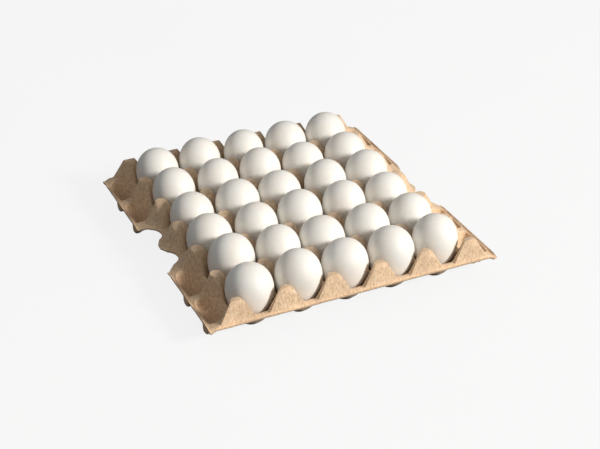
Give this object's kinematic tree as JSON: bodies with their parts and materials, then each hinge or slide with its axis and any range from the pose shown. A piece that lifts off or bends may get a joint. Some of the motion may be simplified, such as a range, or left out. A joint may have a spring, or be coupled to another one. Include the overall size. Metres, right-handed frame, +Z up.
{
  "type": "tray of eggs",
  "caption": "Square open tray of moulded paper pulp, filled with white hen's eggs standing in its cups, with half cups and a finger notch down each side.",
  "frame": {"origin": "on the ground under the middle of the tray", "axes": "+Z up, +X along a row of five eggs to the right, +Y along a column of six eggs to the back"},
  "size_m": [0.294, 0.298, 0.0621],
  "materials": {
    "pulp": "matte",
    "shell": "matte"
  },
  "bodies": {
    "root": {"tray": "pulp", "egg_row1_1": "shell", "egg_row1_2": "shell", "egg_row1_3": "shell", "egg_row1_4": "shell", "egg_row1_5": "shell", "egg_row2_1": "shell", "egg_row2_2": "shell", "egg_row2_3": "shell", "egg_row2_4": "shell", "egg_row2_5": "shell", "egg_row3_1": "shell", "egg_row3_2": "shell", "egg_row3_3": "shell", "egg_row3_4": "shell", "egg_row3_5": "shell", "egg_row4_1": "shell", "egg_row4_2": "shell", "egg_row4_3": "shell", "egg_row4_4": "shell", "egg_row4_5": "shell", "egg_row5_1": "shell", "egg_row5_2": "shell", "egg_row5_3": "shell", "egg_row5_4": "shell", "egg_row5_5": "shell", "egg_row6_1": "shell", "egg_row6_2": "shell", "egg_row6_3": "shell", "egg_row6_4": "shell", "egg_row6_5": "shell"}
  },
  "joints": []
}
